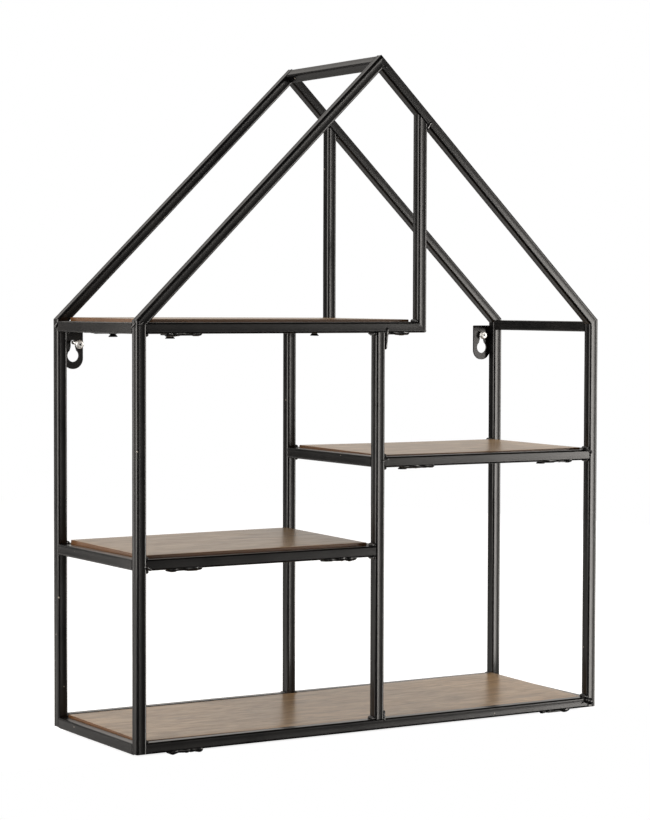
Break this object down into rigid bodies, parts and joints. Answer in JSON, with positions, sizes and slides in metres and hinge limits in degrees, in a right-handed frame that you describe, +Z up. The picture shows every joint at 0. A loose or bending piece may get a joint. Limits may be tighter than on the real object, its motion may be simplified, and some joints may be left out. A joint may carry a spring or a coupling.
{
  "type": "wall bookcase",
  "caption": "House-shaped wall bookcase: a gabled frame of welded square tube with staggered inset boards, carried on keyhole plates.",
  "frame": {"origin": "middle of the bottom rear rail's back face: mid-width, on the wall plane, at the centre line of the lowest rails", "axes": "+X to the viewer's right across the width, +Y toward the wall, +Z up"},
  "size_m": [0.53, 0.206, 0.6611],
  "materials": {
    "frame_black": "black satin paint over welded steel tube, darker at the corners, slightly uneven",
    "weld_metal": "weld beads under the same black paint, glossier where they bulge",
    "black_screws": "blackened countersunk wood screws",
    "board_veneer": "grey-brown wood veneer with fine grain along the width, satin lacquer, brown edges",
    "zinc_screws": "bright zinc plate"
  },
  "bodies": {
    "root": {"front_post_left": "frame_black", "front_post_right": "frame_black", "front_post_middle": "frame_black", "front_post_upper": "frame_black", "front_rafter_left": "frame_black", "front_rafter_right": "frame_black", "front_rail_upper_left": "frame_black", "front_rail_lower_left": "frame_black", "front_rail_middle_right": "frame_black", "front_rail_bottom": "frame_black", "rear_post_left": "frame_black", "rear_post_right": "frame_black", "rear_post_middle": "frame_black", "rear_post_upper": "frame_black", "rear_rafter_left": "frame_black", "rear_rafter_right": "frame_black", "rear_rail_upper_left": "frame_black", "rear_rail_lower_left": "frame_black", "rear_rail_middle_right": "frame_black", "rear_rail_bottom": "frame_black", "ridge_tube": "frame_black", "eave_rail_left": "frame_black", "eave_rail_right": "frame_black", "side_rail_bottom_left": "frame_black", "side_rail_bottom_right": "frame_black", "side_rail_lower_left": "frame_black", "inner_rail_lower_left": "frame_black", "side_rail_middle_right": "frame_black", "inner_rail_middle_right": "frame_black", "inner_rail_upper_left": "frame_black", "board_bottom": "board_veneer", "board_lower_left": "board_veneer", "board_middle_right": "board_veneer", "board_upper_left": "board_veneer", "tabs_bottom": "frame_black", "tabs_lower_left": "frame_black", "tabs_middle_right": "frame_black", "tabs_upper_left": "frame_black", "screws_bottom": "black_screws", "screws_lower_left": "black_screws", "screws_middle_right": "black_screws", "screws_upper_left": "black_screws", "keyhole_plate_left": "frame_black", "keyhole_plate_right": "frame_black", "wall_screws": "zinc_screws", "weld_beads": "weld_metal"}
  },
  "joints": []
}
